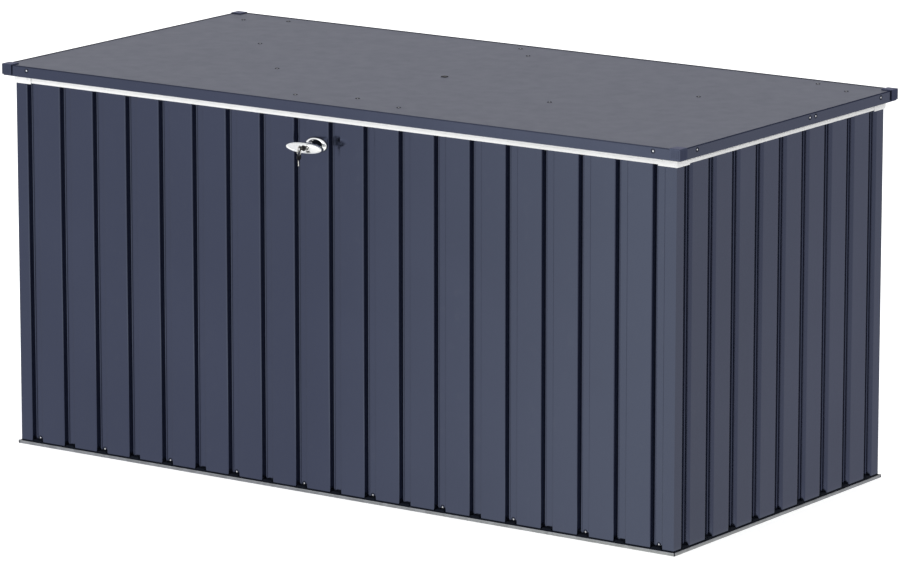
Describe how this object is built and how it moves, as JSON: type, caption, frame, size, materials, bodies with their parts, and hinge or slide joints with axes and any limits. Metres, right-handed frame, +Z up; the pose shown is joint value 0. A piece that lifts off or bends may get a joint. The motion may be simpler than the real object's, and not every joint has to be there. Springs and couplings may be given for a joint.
{
  "type": "deck storage box",
  "caption": "Large corrugated sheet-steel deck storage box with a flat rear-hinged lid on gas struts, white rim rails and a locking T-handle.",
  "frame": {"origin": "centre of the base outline on the ground", "axes": "+Z up, +X to the right as seen from the front, +Y to the back, so the lock faces -Y"},
  "size_m": [1.8488, 0.9491, 0.8956],
  "materials": {
    "painted_wall": "semi-gloss",
    "painted_lid": "semi-gloss",
    "white_trim": "gloss",
    "galvanised_steel": "satin",
    "screw_steel": "satin",
    "cap_plastic": "satin",
    "black_plastic": "matte",
    "chrome": "polished",
    "key_metal": "satin",
    "strut_paint": "satin",
    "rod_steel": "polished"
  },
  "bodies": {
    "box": {"base_rail_back": "galvanised_steel", "base_rail_front": "galvanised_steel", "base_rail_left": "galvanised_steel", "base_rail_right": "galvanised_steel", "base_screws": "screw_steel", "corner_posts": "painted_wall", "floor_bearers": "galvanised_steel", "floor_panel": "galvanised_steel", "hinge_lower_leaves": "screw_steel", "hinge_pins": "screw_steel", "hinge_screws": "screw_steel", "lock_backing_plate": "galvanised_steel", "lock_base_plate": "chrome", "lock_screws": "screw_steel", "rim_corner_brackets": "white_trim", "rim_screws": "screw_steel", "strut_lower_brackets": "galvanised_steel", "strut_screws": "screw_steel", "top_rail_back": "white_trim", "top_rail_front": "white_trim", "top_rail_left": "white_trim", "top_rail_right": "white_trim", "wall_back": "painted_wall", "wall_front": "painted_wall", "wall_left": "painted_wall", "wall_right": "painted_wall", "wall_stiffener_back": "galvanised_steel", "wall_stiffener_front": "galvanised_steel", "wall_stiffener_left": "galvanised_steel", "wall_stiffener_right": "galvanised_steel"},
    "lid": {"centre_brace": "painted_lid", "centre_plug": "black_plastic", "corner_cap_back_left": "cap_plastic", "corner_cap_back_right": "cap_plastic", "corner_cap_front_left": "cap_plastic", "corner_cap_front_right": "cap_plastic", "diagonal_brace_left": "painted_lid", "diagonal_brace_right": "painted_lid", "fascia_screws": "screw_steel", "hinge_upper_leaves": "screw_steel", "lid_fascia_back": "painted_lid", "lid_fascia_front": "painted_lid", "lid_fascia_left": "painted_lid", "lid_fascia_right": "painted_lid", "lid_panel": "painted_lid", "lid_screws": "screw_steel", "lock_keeper": "galvanised_steel", "strut_upper_brackets": "galvanised_steel"},
    "handle": {"t_handle": "chrome", "lock_spindle": "chrome", "lock_cam": "screw_steel", "cam_nut": "screw_steel"},
    "lock_core": {"key_cylinder": "chrome", "key": "key_metal"},
    "key_bunch": {"key_ring": "key_metal", "spare_key": "key_metal"},
    "strut_cylinder_left": {"gas_cylinder_left": "strut_paint"},
    "strut_cylinder_right": {"gas_cylinder_right": "strut_paint"},
    "strut_rod_left": {"gas_rod_left": "rod_steel"},
    "strut_rod_right": {"gas_rod_right": "rod_steel"}
  },
  "joints": [
    {"name": "lid_hinge", "type": "hinge", "parent": "box", "child": "lid", "pos_m": [0, 0.436, 0.8637], "axis": [-1, 0, 0], "range_deg": [0, 75]},
    {"name": "handle_turn", "type": "hinge", "parent": "box", "child": "handle", "pos_m": [-0.0475, -0.426, 0.797], "axis": [0, -1, 0], "range_deg": [0, 90]},
    {"name": "key_turn", "type": "hinge", "parent": "handle", "child": "lock_core", "pos_m": [-0.0475, -0.476, 0.797], "axis": [0, -1, 0], "range_deg": [0, 90]},
    {"name": "key_swing", "type": "hinge", "parent": "lock_core", "child": "key_bunch", "pos_m": [-0.0475, -0.49167, 0.795], "axis": [0, -1, 0], "range_deg": [-35, 35]},
    {"name": "strut_swing_left", "type": "hinge", "parent": "box", "child": "strut_cylinder_left", "pos_m": [-0.858, 0.3, 0.56], "axis": [-1, 0, 0], "range_deg": [0, 38.82]},
    {"name": "strut_slide_left", "type": "slide", "parent": "strut_cylinder_left", "child": "strut_rod_left", "axis": [0, -0.5658, 0.8245], "range_m": [0, 0.2693]},
    {"name": "strut_swing_right", "type": "hinge", "parent": "box", "child": "strut_cylinder_right", "pos_m": [0.858, 0.3, 0.56], "axis": [-1, 0, 0], "range_deg": [0, 38.82]},
    {"name": "strut_slide_right", "type": "slide", "parent": "strut_cylinder_right", "child": "strut_rod_right", "axis": [0, -0.5658, 0.8245], "range_m": [0, 0.2693]}
  ],
  "couplings": [
    {"joint": "strut_swing_left", "follows": "lid_hinge", "ratio": 0.5176},
    {"joint": "strut_slide_left", "follows": "lid_hinge", "m_per_rad": 0.20568},
    {"joint": "strut_swing_right", "follows": "lid_hinge", "ratio": 0.5176},
    {"joint": "strut_slide_right", "follows": "lid_hinge", "m_per_rad": 0.20568}
  ]
}
